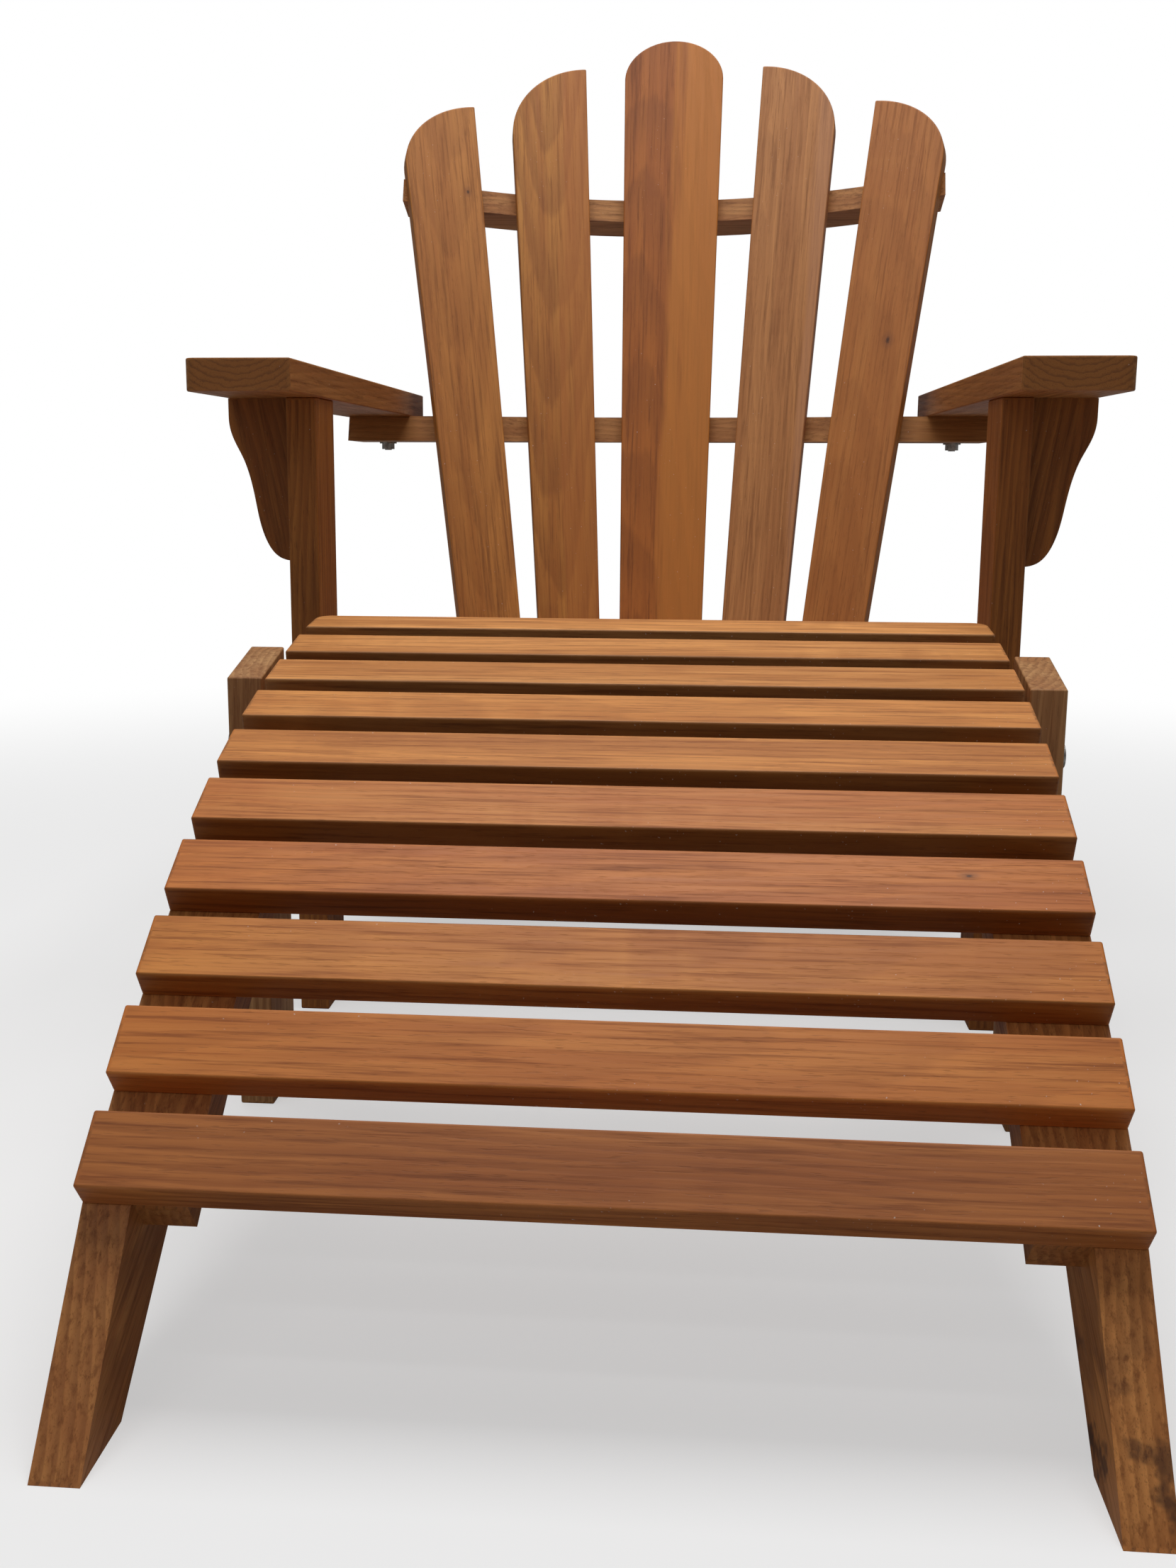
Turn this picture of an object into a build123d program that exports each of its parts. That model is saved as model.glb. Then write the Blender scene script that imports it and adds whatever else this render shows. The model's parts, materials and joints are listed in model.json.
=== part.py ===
from build123d import *
import os
from math import cos, radians, sin, sqrt, tan

# Slatted Adirondack chair with a free-standing footrest in front of it.
# Millimetres, +Z up, +Y towards the back of the chair, mirror plane at X = 0.
# The origin is on the floor, under the middle of the whole set.
# Left is the -X side and right the +X side.

# Timber stock
plank = 27.0  # thickness of posts, legs, side rails and arms
board = 20.0  # thickness of slats and back boards
slat_width = 46.0
batten_width = 30.0
eased_edge = 1.5

# Lengths along Y, measured from the front faces of the chair's posts
footrest_reach = 743.0  # forward, to the tips of the footrest's feet
chair_reach = 905.0  # backward, to the end of the chair's tail
post_front_y = (footrest_reach - chair_reach) / 2

# Footrest
footrest_width = 560.0
footrest_steps = (68.5, 66.5, 66.0, 64.5, 64.0, 66.0, 66.0, 64.5, 69.0)  # from slat to slat
footrest_tilts = (39.0, 37.5, 34.0, 30.0, 25.0, 20.0, 16.0, 13.0, 11.5, 7.0)
footrest_start = (post_front_y - 637.0, 124.0)
rail_depth = 66.0
foot_length = 59.0
batten_setback = 2.0  # from the front edge of the first slat
seat_batten_thickness = 18.0
leg_gap = 7.5  # thickness of the spacers between side rail and leg
leg_depth = 71.0
leg_front_y = post_front_y - 238.0
leg_front_height = 344.0
leg_rear_height = 361.0
leg_bolts = ((leg_front_y + 19.0, 292.0), (leg_front_y + 52.0, 299.0))
last_slat_corner = 13.0

# Chair frame and seat
post_inner_x = 297.0
post_depth = 71.0
arm_underside = 564.0
seat_steps = (57.0, 57.0, 57.0, 57.0, 57.0)
seat_tilts = (6.0, -6.0, -13.0, -16.0, -16.0, -16.0)
seat_start = (post_front_y + 23.0, 316.0)
stringer_depth = 92.0
stringer_slope = 16.0
post_bolts = ((post_front_y + 36.0, 254.0), (post_front_y + 36.0, 283.0))
apron_bottom = 246.0

# Armrests and corbels
arm_inner_x = 294.0
arm_outer_x = 384.0
arm_rear_outer_x = 374.0
arm_front_y = post_front_y - 100.0
arm_rear_y = post_front_y + 545.0
arm_corner = 10.0
corbel_outer_x = 382.0
corbel_lip = 548.0  # height at which the outer edge starts to curve inwards
corbel_curve = ((370.0, 512.0), (360.0, 477.0), (351.5, 441.0), (340.0, 424.0))
corbel_bottom = 419.5
corbel_front_y = post_front_y + 22.0

# Fan-shaped, dished back
back_lean = 20.0
back_height = 548.0  # height at which the lengths along the boards are counted from
back_front_y = post_front_y + 472.8  # front face of the middle board there
dish_radius = 770.0
board_bottom = -400.0
middle_half_width = 50.5
middle_growth = 0.018
middle_shoulder = 442.0
middle_crown = 49.6
side_half_width = 38.5
side_growth = 0.0165
# centre from the mirror plane, turn inwards, fan angle, extra forward lean, inner corner, outer shoulder
inner_board = (119.0, 8.5, 4.0, 0.005, 452.0, 369.0)
outer_board = (222.6, 17.0, 8.0, 0.020, 390.0, 315.0)

# Rails behind the back boards
housing = 2.0  # how far the boards are let into the rails
upper_rail_along = 268.0
upper_rail_half = 312.5
upper_rail_radius = 895.0
upper_rail_depth = 36.0
arm_rail_height = 28.0
arm_rail_radius = 725.0
arm_rail_arc_half = 243.0
arm_rail_half = 365.0
arm_rail_rear_y = post_front_y + 534.0
lower_rail_along = -392.0
lower_rail_radius = 562.0
lower_rail_arc_half = 205.0
lower_rail_depth = 42.0

# Fasteners
bolt_radius = 4.0
bolt_play = 0.25
bolt_end = 1.0  # how far a bolt stands out past its nut
head_radius = 9.0
head_height = 3.5
washer_radius = 10.0
washer_thickness = 2.0
nut_radius = 7.5
nut_height = 6.5
screw_radius = 2.2
screw_head_radius = 4.5
screw_head_height = 2.5
screw_grip = 12.0  # length held in the piece that a screw pulls tight
spacer_radius = 13.0
arm_bolt = (330.0, post_front_y + 508.0)
arm_screw_run = (18.0, 53.0)  # from the front face of the post
corbel_screw_x = (340.0, 366.0)
apron_screw_heights = (268.5, 300.0)
lower_rail_screw_depths = (2.0, 40.0)
frame_screw_length = 57.0
seat_screw_run = 3.0

post_outer_x = post_inner_x + plank
stringer_inner_x = post_inner_x - plank
rail_outer_x = footrest_width / 2
rail_inner_x = rail_outer_x - plank
leg_inner_x = rail_outer_x + leg_gap
leg_outer_x = leg_inner_x + plank
arm_top = arm_underside + plank
corbel_middle_y = corbel_front_y + plank / 2
foot_tip_y = post_front_y - footrest_reach
tail_y = post_front_y + chair_reach

os.makedirs("parts", exist_ok=True)


def save(builder, name):
    """Label a finished piece and write its STEP file."""
    builder.part.label = name
    export_step(builder.part, f"parts/{name}.step")


def deck(start, tilts, steps):
    """Bottom centre and tilt of each slat, stepping backwards along the curve that they sit on."""
    y, z = start
    places = [(y, z, tilts[0])]
    for before, after, step in zip(tilts, tilts[1:], steps):
        middle = radians((before + after) / 2)
        y += step * cos(middle)
        z += step * sin(middle)
        places.append((y, z, after))
    return places


def along(place, run, drop=0.0):
    """Point a distance along a slat's underside and a depth below it."""
    y, z, tilt = place
    lean = radians(tilt)
    return (y + run * cos(lean) + drop * sin(lean), z + run * sin(lean) - drop * cos(lean))


def seats(places):
    """The flats that slats rest on, front to back, as points of an outline."""
    points = []
    for place in places:
        points += [along(place, -slat_width / 2), along(place, slat_width / 2)]
    return points


def screw_flats(places, thickness):
    """Underside of a batten, back to front, with a flat around the screw under each slat."""
    points = []
    for place in reversed(places):
        points.append(along(place, slat_width / 4, thickness))
        points.append(along(place, -slat_width / 4, thickness))
    return points


def slat_plane(place, left_x):
    """Plane of a slat's left end, with X across its width and Y up through its thickness."""
    y, z, tilt = place
    lean = radians(tilt)
    return Plane(origin=(left_x, y, z), x_dir=(0, cos(lean), sin(lean)), z_dir=(1, 0, 0))


def bar(start, end, radius, mode=Mode.ADD):
    """Round bar from one point to another."""
    way = Vector(*end) - Vector(*start)
    with Locations(Plane(origin=start, z_dir=way)):
        Cylinder(radius=radius, height=way.length, align=(Align.CENTER, Align.CENTER, Align.MIN), mode=mode)


def side_bars(places, x_from, x_to, radius, mode=Mode.ADD):
    """Round bars along X at the given places, on both sides of the set."""
    for y, z in places:
        bar((x_from, y, z), (x_to, y, z), radius, mode)
        bar((-x_from, y, z), (-x_to, y, z), radius, mode)


def screw_pair(head, tip):
    """Wood screw with its flat head flush at one point and its end at another, and its mirror image."""
    for side in (-1, 1):
        start = Vector(side * head[0], head[1], head[2])
        end = Vector(side * tip[0], tip[1], tip[2])
        neck = start + (end - start).normalized() * screw_head_height
        bar(start, neck, screw_head_radius)
        bar(neck, end, screw_radius)


def batten_screws(places, x, thickness, run=0.0):
    """Screws driven up through a pair of battens into each slat, a little behind its middle if run is given."""
    for place in places:
        screw_pair((x, *along(place, run, thickness)), (x, *along(place, run, -screw_grip)))


footrest_deck = deck(footrest_start, footrest_tilts, footrest_steps)
seat_deck = deck(seat_start, seat_tilts, seat_steps)
seat_end_y, seat_end_z = along(seat_deck[-1], slat_width / 2)

# ---------------------------------------------------------------- fasteners of the footrest
leg_stack_x = rail_inner_x - washer_thickness - nut_height

with BuildPart() as footrest_bolts:
    side_bars(leg_bolts, leg_outer_x, leg_outer_x + head_height, head_radius)
    side_bars(leg_bolts, leg_stack_x - bolt_end, leg_outer_x, bolt_radius)
save(footrest_bolts, "footrest_bolts")

with BuildPart() as footrest_washers:
    side_bars(leg_bolts, rail_inner_x - washer_thickness, rail_inner_x, washer_radius)
    side_bars(leg_bolts, rail_inner_x - washer_thickness, rail_inner_x, bolt_radius, Mode.SUBTRACT)
save(footrest_washers, "footrest_washers")

with BuildPart() as footrest_nuts:
    for side in (-1, 1):
        for y, z in leg_bolts:
            with BuildSketch(Plane(origin=(side * leg_stack_x, y, z), z_dir=(side, 0, 0))):
                RegularPolygon(radius=nut_radius, side_count=6)
            extrude(amount=nut_height)
    side_bars(leg_bolts, leg_stack_x, rail_inner_x, bolt_radius, Mode.SUBTRACT)
save(footrest_nuts, "footrest_nuts")

with BuildPart() as footrest_spacers:
    side_bars(leg_bolts, rail_outer_x, leg_inner_x, spacer_radius)
    side_bars(leg_bolts, rail_outer_x, leg_inner_x, bolt_radius + bolt_play, Mode.SUBTRACT)
save(footrest_spacers, "footrest_spacers")

with BuildPart() as footrest_screws:
    batten_screws(footrest_deck, rail_inner_x - batten_width / 2, plank)
save(footrest_screws, "footrest_screws")

# ---------------------------------------------------------------- footrest
for number, place in enumerate(footrest_deck, start=1):
    with BuildPart() as slat:
        with BuildSketch(slat_plane(place, -footrest_width / 2)):
            Rectangle(slat_width, board, align=(Align.CENTER, Align.MIN))
        extrude(amount=footrest_width)
        if number == len(footrest_deck):
            # the slat nearest the chair has its rear corners rounded off
            ends = slat.edges().filter_by(lambda edge: abs(edge.length - board) < 0.01)
            fillet(ends.sort_by(Axis.Y)[-2:], radius=last_slat_corner)
            slopes = slat.faces().filter_by(GeomType.PLANE).sort_by(Axis.Z)
            fillet(slopes[0].edges() + slopes[-1].edges(), radius=eased_edge)
        else:
            fillet(slat.edges(), radius=eased_edge)
        add(footrest_screws.part, mode=Mode.SUBTRACT)
    save(slat, f"footrest_slat_{number:02d}")

# side rails: a curved top with a flat under each slat, running down in front to form the feet
rail_bottom = [along(place, 0.0, rail_depth) for place in footrest_deck]
with BuildPart() as rail:
    with BuildSketch(Plane.YZ.offset(rail_inner_x)):
        with BuildLine():
            Polyline((foot_tip_y, 0.0), *seats(footrest_deck))
            Line(along(footrest_deck[-1], slat_width / 2), along(footrest_deck[-1], slat_width / 2, rail_depth))
            Spline(along(footrest_deck[-1], slat_width / 2, rail_depth), *rail_bottom[7:0:-2], rail_bottom[0])
            Line(rail_bottom[0], (foot_tip_y + foot_length, 0.0))
            Line((foot_tip_y + foot_length, 0.0), (foot_tip_y, 0.0))
        make_face()
    extrude(amount=plank)
    side_bars(leg_bolts, rail_inner_x, rail_outer_x, bolt_radius + bolt_play, Mode.SUBTRACT)
save(rail, "footrest_rail_right")

with BuildPart() as rail_left:
    mirror(rail.part, about=Plane.YZ)
save(rail_left, "footrest_rail_left")

# battens along the inner faces of the side rails
batten_run = batten_setback - slat_width / 2
with BuildPart() as batten:
    with BuildSketch(Plane.YZ.offset(rail_inner_x - batten_width)):
        with BuildLine():
            Polyline(
                along(footrest_deck[0], batten_run),
                *seats(footrest_deck)[1:],
                along(footrest_deck[-1], slat_width / 2, plank),
                *screw_flats(footrest_deck, plank),
                along(footrest_deck[0], batten_run, plank),
                close=True,
            )
        make_face()
    extrude(amount=batten_width)
    add(footrest_screws.part, mode=Mode.SUBTRACT)
save(batten, "footrest_batten_right")

with BuildPart() as batten_left:
    mirror(batten.part, about=Plane.YZ)
save(batten_left, "footrest_batten_left")

# rear legs, cut off at the top along the slope of the deck
with BuildPart() as leg:
    with BuildSketch(Plane.YZ.offset(leg_inner_x)):
        with BuildLine():
            Polyline(
                (leg_front_y, 0.0),
                (leg_front_y + leg_depth, 0.0),
                (leg_front_y + leg_depth, leg_rear_height),
                (leg_front_y, leg_front_height),
                close=True,
            )
        make_face()
    extrude(amount=plank)
    fillet(leg.edges(), radius=eased_edge)
    side_bars(leg_bolts, leg_inner_x, leg_outer_x, bolt_radius + bolt_play, Mode.SUBTRACT)
save(leg, "footrest_leg_right")

with BuildPart() as leg_left:
    mirror(leg.part, about=Plane.YZ)
save(leg_left, "footrest_leg_left")

# ---------------------------------------------------------------- back geometry
back_up = Vector(0, sin(radians(back_lean)), cos(radians(back_lean)))
back_forward = Vector(0, -cos(radians(back_lean)), sin(radians(back_lean)))
back_foot = Vector(0, back_front_y, back_height)
rail_face = board - housing  # depth of the rails' front faces behind the middle board's front


def bow(radius, x):
    """How far an arc has come forward at a distance from the mirror plane."""
    return radius - sqrt(radius**2 - x**2)


def board_plane(centre_x, turn, fan, lean):
    """Front face of a back board on the right, with its X outwards and its Y up along the board."""
    across = Vector(cos(radians(turn)), 0, 0) + back_forward * sin(radians(turn))
    up = Vector(tan(radians(fan)), 0, 0) + back_forward * lean + back_up
    dish = dish_radius * (1 - cos(radians(turn)))
    face = across.cross(up)
    origin = Vector(centre_x, 0, 0) + back_foot + back_forward * dish
    return Plane(origin=origin, x_dir=up.cross(face), z_dir=face)


def board_screw(plane, run, rear):
    """Screw from the back of a rail, at a depth behind the back's face, into a board."""
    entry = plane.origin + plane.y_dir * run - plane.z_dir * board
    depth = (back_foot - entry).dot(back_forward)
    head = entry - plane.z_dir * ((rear(entry.X) - depth) / plane.z_dir.dot(back_forward))
    tip = entry + plane.z_dir * screw_grip
    screw_pair(tuple(head), tuple(tip))


def upper_rail_rear(x):
    """Depth of the upper rail's rear face."""
    return rail_face + upper_rail_depth - bow(upper_rail_radius + upper_rail_depth, x)


def arm_rail_rear(x):
    """Depth of the arm rail's rear face."""
    return (arm_rail_rear_y - back_front_y) * cos(radians(back_lean)) + arm_rail_sink * sin(radians(back_lean))


def lower_rail_rear(x):
    """Depth of the lower rail's rear face."""
    return rail_face + lower_rail_depth


arm_rail_sink = back_height - (arm_underside - arm_rail_height)
middle_plane = board_plane(0.0, 0.0, 0.0, 0.0)
side_planes = [board_plane(*board_data[:4]) for board_data in (inner_board, outer_board)]
rail_levels = (
    (upper_rail_along + plank / 2, upper_rail_rear),
    (arm_rail_height / 2 - arm_rail_sink, arm_rail_rear),
    (lower_rail_along + plank / 2, lower_rail_rear),
)

# ---------------------------------------------------------------- fasteners of the chair
post_stack_x = stringer_inner_x - washer_thickness - nut_height
arm_stack_z = arm_underside - arm_rail_height - washer_thickness - nut_height
arm_nut_top = arm_stack_z + nut_height

with BuildPart() as post_bolt_set:
    side_bars(post_bolts, post_outer_x, post_outer_x + head_height, head_radius)
    side_bars(post_bolts, post_stack_x - bolt_end, post_outer_x, bolt_radius)
save(post_bolt_set, "post_bolts")

with BuildPart() as arm_bolt_set:
    for side in (-1, 1):
        x, y = side * arm_bolt[0], arm_bolt[1]
        bar((x, y, arm_top), (x, y, arm_top + head_height), head_radius)
        bar((x, y, arm_stack_z - bolt_end), (x, y, arm_top), bolt_radius)
save(arm_bolt_set, "arm_bolts")

with BuildPart() as chair_washers:
    side_bars(post_bolts, stringer_inner_x - washer_thickness, stringer_inner_x, washer_radius)
    for side in (-1, 1):
        x, y = side * arm_bolt[0], arm_bolt[1]
        bar((x, y, arm_nut_top), (x, y, arm_nut_top + washer_thickness), washer_radius)
    add(post_bolt_set.part, mode=Mode.SUBTRACT)
    add(arm_bolt_set.part, mode=Mode.SUBTRACT)
save(chair_washers, "chair_washers")

with BuildPart() as chair_nuts:
    for side in (-1, 1):
        x, y = side * arm_bolt[0], arm_bolt[1]
        with BuildSketch(Plane(origin=(x, y, arm_stack_z), z_dir=(0, 0, 1))):
            RegularPolygon(radius=nut_radius, side_count=6)
        extrude(amount=nut_height)
        for y, z in post_bolts:
            with BuildSketch(Plane(origin=(side * post_stack_x, y, z), z_dir=(side, 0, 0))):
                RegularPolygon(radius=nut_radius, side_count=6)
            extrude(amount=nut_height)
    add(post_bolt_set.part, mode=Mode.SUBTRACT)
    add(arm_bolt_set.part, mode=Mode.SUBTRACT)
save(chair_nuts, "chair_nuts")

with BuildPart() as seat_screws:
    batten_screws(seat_deck, stringer_inner_x - batten_width / 2, seat_batten_thickness, seat_screw_run)
save(seat_screws, "seat_screws")

# the same screw holds the apron, the corbels, the fronts of the arms and the lower rail
with BuildPart() as frame_screws:
    stringer_x = stringer_inner_x + plank / 2
    for z in apron_screw_heights:
        screw_pair((stringer_x, post_front_y, z), (stringer_x, post_front_y + frame_screw_length, z))
    for x in corbel_screw_x:
        screw_pair((x, corbel_middle_y, arm_top), (x, corbel_middle_y, arm_top - frame_screw_length))
    for run in arm_screw_run:
        x, y = post_inner_x + plank / 2, post_front_y + run
        screw_pair((x, y, arm_top), (x, y, arm_top - frame_screw_length))
    for depth in lower_rail_screw_depths:
        point = back_foot + back_up * (lower_rail_along + plank / 2) - back_forward * depth
        screw_pair((post_inner_x, point.Y, point.Z), (post_inner_x - frame_screw_length, point.Y, point.Z))
save(frame_screws, "frame_screws")

with BuildPart() as back_screws:
    for run, rear in rail_levels:
        board_screw(middle_plane, run, rear)
        for plane in side_planes:
            board_screw(plane, run, rear)
save(back_screws, "back_screws")

# ---------------------------------------------------------------- back boards, numbered from the left
foot_half = middle_half_width + middle_growth * board_bottom
crown_half = middle_half_width + middle_growth * middle_shoulder
with BuildPart() as middle_board:
    with BuildSketch(middle_plane):
        with BuildLine():
            Polyline(
                (-crown_half, middle_shoulder),
                (-foot_half, board_bottom),
                (foot_half, board_bottom),
                (crown_half, middle_shoulder),
            )
            EllipticalCenterArc((0.0, middle_shoulder), crown_half, middle_crown, start_angle=0, arc_size=180)
        make_face()
    extrude(amount=-board)
    fillet(middle_board.edges(), radius=eased_edge)
    add(back_screws.part, mode=Mode.SUBTRACT)
save(middle_board, "back_board_3")

boards = [middle_board.part]
for place, plane, (_, _, _, _, corner, shoulder) in zip((0, 1), side_planes, (inner_board, outer_board)):
    foot_half = side_half_width + side_growth * board_bottom
    shoulder_half = side_half_width + side_growth * shoulder
    corner_half = side_half_width + side_growth * corner
    shoulder_width = corner_half + shoulder_half
    with BuildPart() as side_board:
        with BuildSketch(plane):
            with BuildLine():
                Polyline(
                    (-corner_half, corner),
                    (-foot_half, board_bottom),
                    (foot_half, board_bottom),
                    (shoulder_half, shoulder),
                )
                EllipticalCenterArc((-corner_half, shoulder), shoulder_width, corner - shoulder, arc_size=90)
            make_face()
        extrude(amount=-board)
        fillet(side_board.edges(), radius=eased_edge)
        add(back_screws.part, mode=Mode.SUBTRACT)
    save(side_board, f"back_board_{4 + place}")
    with BuildPart() as mirrored_board:
        mirror(side_board.part, about=Plane.YZ)
    save(mirrored_board, f"back_board_{2 - place}")
    boards += [side_board.part, mirrored_board.part]

# ---------------------------------------------------------------- rails behind the boards
upper_front_end = rail_face - bow(upper_rail_radius, upper_rail_half)
upper_plane = Plane(origin=back_foot + back_up * upper_rail_along, x_dir=(1, 0, 0), z_dir=back_up)
with BuildPart() as upper_rail:
    with BuildSketch(upper_plane):
        with BuildLine():
            ThreePointArc(
                (-upper_rail_half, upper_front_end),
                (0.0, rail_face),
                (upper_rail_half, upper_front_end),
            )
            Line((upper_rail_half, upper_front_end), (upper_rail_half, upper_rail_rear(upper_rail_half)))
            ThreePointArc(
                (upper_rail_half, upper_rail_rear(upper_rail_half)),
                (0.0, upper_rail_rear(0.0)),
                (-upper_rail_half, upper_rail_rear(upper_rail_half)),
            )
            Line((-upper_rail_half, upper_rail_rear(upper_rail_half)), (-upper_rail_half, upper_front_end))
        make_face()
    extrude(amount=plank)
    for back_board in boards:
        add(back_board, mode=Mode.SUBTRACT)
    add(back_screws.part, mode=Mode.SUBTRACT)
save(upper_rail, "upper_back_rail")


def draw_rail(half, arc_half, front, radius, rear):
    """Outline of a rail with a straight rear edge and an arc cut into the middle of its front edge."""
    end = front - bow(radius, arc_half)
    ThreePointArc((-arc_half, end), (0.0, front), (arc_half, end))
    Polyline((arc_half, end), (half, end), (half, rear), (-half, rear), (-half, end), (-arc_half, end))


# the arm rail leans with the boards, and the arms rest on its ends
arm_rail_front = (
    back_front_y
    + rail_face / cos(radians(back_lean))
    - arm_rail_sink * tan(radians(back_lean))
)
with BuildPart() as arm_rail:
    with BuildSketch(Plane.XY.offset(arm_underside - arm_rail_height)):
        with BuildLine():
            draw_rail(arm_rail_half, arm_rail_arc_half, arm_rail_front, arm_rail_radius, arm_rail_rear_y)
        make_face()
    extrude(amount=arm_rail_height / cos(radians(back_lean)), dir=tuple(back_up))
    for back_board in boards:
        add(back_board, mode=Mode.SUBTRACT)
    add(back_screws.part, mode=Mode.SUBTRACT)
    for side in (-1, 1):
        x, y = side * arm_bolt[0], arm_bolt[1]
        bar((x, y, arm_stack_z), (x, y, arm_top), bolt_radius + bolt_play, mode=Mode.SUBTRACT)
save(arm_rail, "arm_rail")

lower_plane = Plane(origin=back_foot + back_up * lower_rail_along, x_dir=(1, 0, 0), z_dir=back_up)
with BuildPart() as lower_rail:
    with BuildSketch(lower_plane):
        with BuildLine():
            draw_rail(stringer_inner_x, lower_rail_arc_half, rail_face, lower_rail_radius, lower_rail_rear(0.0))
        make_face()
    extrude(amount=plank)
    for back_board in boards:
        add(back_board, mode=Mode.SUBTRACT)
    add(back_screws.part, mode=Mode.SUBTRACT)
    add(frame_screws.part, mode=Mode.SUBTRACT)
save(lower_rail, "lower_back_rail")

# ---------------------------------------------------------------- seat
for number, place in enumerate(seat_deck, start=1):
    with BuildPart() as slat:
        with BuildSketch(slat_plane(place, -post_inner_x)):
            Rectangle(slat_width, board, align=(Align.CENTER, Align.MIN))
        extrude(amount=2 * post_inner_x)
        fillet(slat.edges(), radius=eased_edge)
        add(seat_screws.part, mode=Mode.SUBTRACT)
    save(slat, f"seat_slat_{number}")

first_slat_cos = cos(radians(seat_tilts[0]))
apron_front = along(seat_deck[0], (post_front_y - seat_start[0]) / first_slat_cos)
apron_rear = along(seat_deck[0], (post_front_y + board - seat_start[0]) / first_slat_cos)
with BuildPart() as apron:
    with BuildSketch(Plane.YZ.offset(-post_inner_x)):
        with BuildLine():
            Polyline(
                (post_front_y, apron_bottom),
                (apron_rear[0], apron_bottom),
                apron_rear,
                apron_front,
                close=True,
            )
        make_face()
    extrude(amount=2 * post_inner_x)
    add(frame_screws.part, mode=Mode.SUBTRACT)
save(apron, "front_apron")

# stringers carry the seat and run back to the floor behind the chair
slope = tan(radians(stringer_slope))
fall = stringer_depth / cos(radians(stringer_slope))
tail_top = seat_end_z - (tail_y - seat_end_y) * slope
with BuildPart() as stringer:
    with BuildSketch(Plane.YZ.offset(stringer_inner_x)):
        with BuildLine():
            Polyline(
                (apron_rear[0], seat_end_z - fall + (seat_end_y - apron_rear[0]) * slope),
                apron_rear,
                *seats(seat_deck)[1:],
                (tail_y, tail_top),
                (tail_y, 0.0),
                (tail_y - (fall - tail_top) / slope, 0.0),
                close=True,
            )
        make_face()
    extrude(amount=plank)
    side_bars(post_bolts, stringer_inner_x, post_inner_x, bolt_radius + bolt_play, Mode.SUBTRACT)
    add(frame_screws.part, mode=Mode.SUBTRACT)
save(stringer, "stringer_right")

with BuildPart() as stringer_left:
    mirror(stringer.part, about=Plane.YZ)
save(stringer_left, "stringer_left")

with BuildPart() as seat_batten:
    with BuildSketch(Plane.YZ.offset(stringer_inner_x - batten_width)):
        with BuildLine():
            Polyline(
                apron_rear,
                *seats(seat_deck)[1:],
                along(seat_deck[-1], slat_width / 2, seat_batten_thickness),
                *screw_flats(seat_deck, seat_batten_thickness)[:-1],
                along(seat_deck[0], (apron_rear[0] - seat_start[0]) / first_slat_cos, seat_batten_thickness),
                close=True,
            )
        make_face()
    extrude(amount=batten_width)
    add(seat_screws.part, mode=Mode.SUBTRACT)
save(seat_batten, "seat_batten_right")

with BuildPart() as seat_batten_left:
    mirror(seat_batten.part, about=Plane.YZ)
save(seat_batten_left, "seat_batten_left")

# ---------------------------------------------------------------- posts, corbels and arms
with BuildPart() as post:
    with BuildSketch(Plane.YZ.offset(post_inner_x)):
        with Locations((post_front_y, 0.0)):
            Rectangle(post_depth, arm_underside, align=(Align.MIN, Align.MIN))
    extrude(amount=plank)
    fillet(post.edges(), radius=eased_edge)
    side_bars(post_bolts, post_inner_x, post_outer_x, bolt_radius + bolt_play, Mode.SUBTRACT)
    add(frame_screws.part, mode=Mode.SUBTRACT)
save(post, "front_post_right")

with BuildPart() as post_left:
    mirror(post.part, about=Plane.YZ)
save(post_left, "front_post_left")

# corbel: an S-shaped bracket on the outer face of the post, under the arm
with BuildPart() as corbel:
    with BuildSketch(Plane(origin=(0, corbel_front_y, 0), x_dir=(1, 0, 0), z_dir=(0, -1, 0))):
        with BuildLine():
            Polyline(
                (post_outer_x, corbel_bottom),
                (post_outer_x, arm_underside),
                (corbel_outer_x, arm_underside),
                (corbel_outer_x, corbel_lip),
            )
            Spline(
                (corbel_outer_x, corbel_lip),
                *corbel_curve,
                (post_outer_x, corbel_bottom),
                tangents=((0, -1), (-1, 0)),
            )
        make_face()
    extrude(amount=-plank)
    add(frame_screws.part, mode=Mode.SUBTRACT)
save(corbel, "corbel_right")

with BuildPart() as corbel_left:
    mirror(corbel.part, about=Plane.YZ)
save(corbel_left, "corbel_left")

with BuildPart() as arm:
    with BuildSketch(Plane.XY.offset(arm_underside)):
        with BuildLine():
            Polyline(
                (arm_inner_x, arm_front_y),
                (arm_outer_x, arm_front_y),
                (arm_rear_outer_x, arm_rear_y),
                (arm_inner_x, arm_rear_y),
                close=True,
            )
        make_face()
    extrude(amount=plank)
    upright = arm.edges().filter_by(Axis.Z)
    fillet(upright.sort_by(lambda edge: edge.center().X - edge.center().Y)[-1], radius=arm_corner)
    fillet(arm.faces().sort_by(Axis.Z)[0].edges() + arm.faces().sort_by(Axis.Z)[-1].edges(), radius=eased_edge)
    add(frame_screws.part, mode=Mode.SUBTRACT)
    x, y = arm_bolt
    bar((x, y, arm_underside), (x, y, arm_top), bolt_radius + bolt_play, mode=Mode.SUBTRACT)
save(arm, "armrest_right")

with BuildPart() as arm_left:
    mirror(arm.part, about=Plane.YZ)
save(arm_left, "armrest_left")
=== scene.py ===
"""Slatted Adirondack chair with a loose footrest in front of it, in oiled hardwood.

The shapes come from the frame. This script gives each board its own timber: the frame of the board is found
from its mesh, so that the grain runs along it, and its tones, figure and marks are chosen board by board.
Lengths are in metres, +Z is up, and the front of the footrest is towards -Y.
"""

import json
import logging
import math
import random
from dataclasses import dataclass, field, replace
from enum import Enum

import bpy
import numpy as np
from mathutils import Euler, Matrix, Vector


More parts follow.
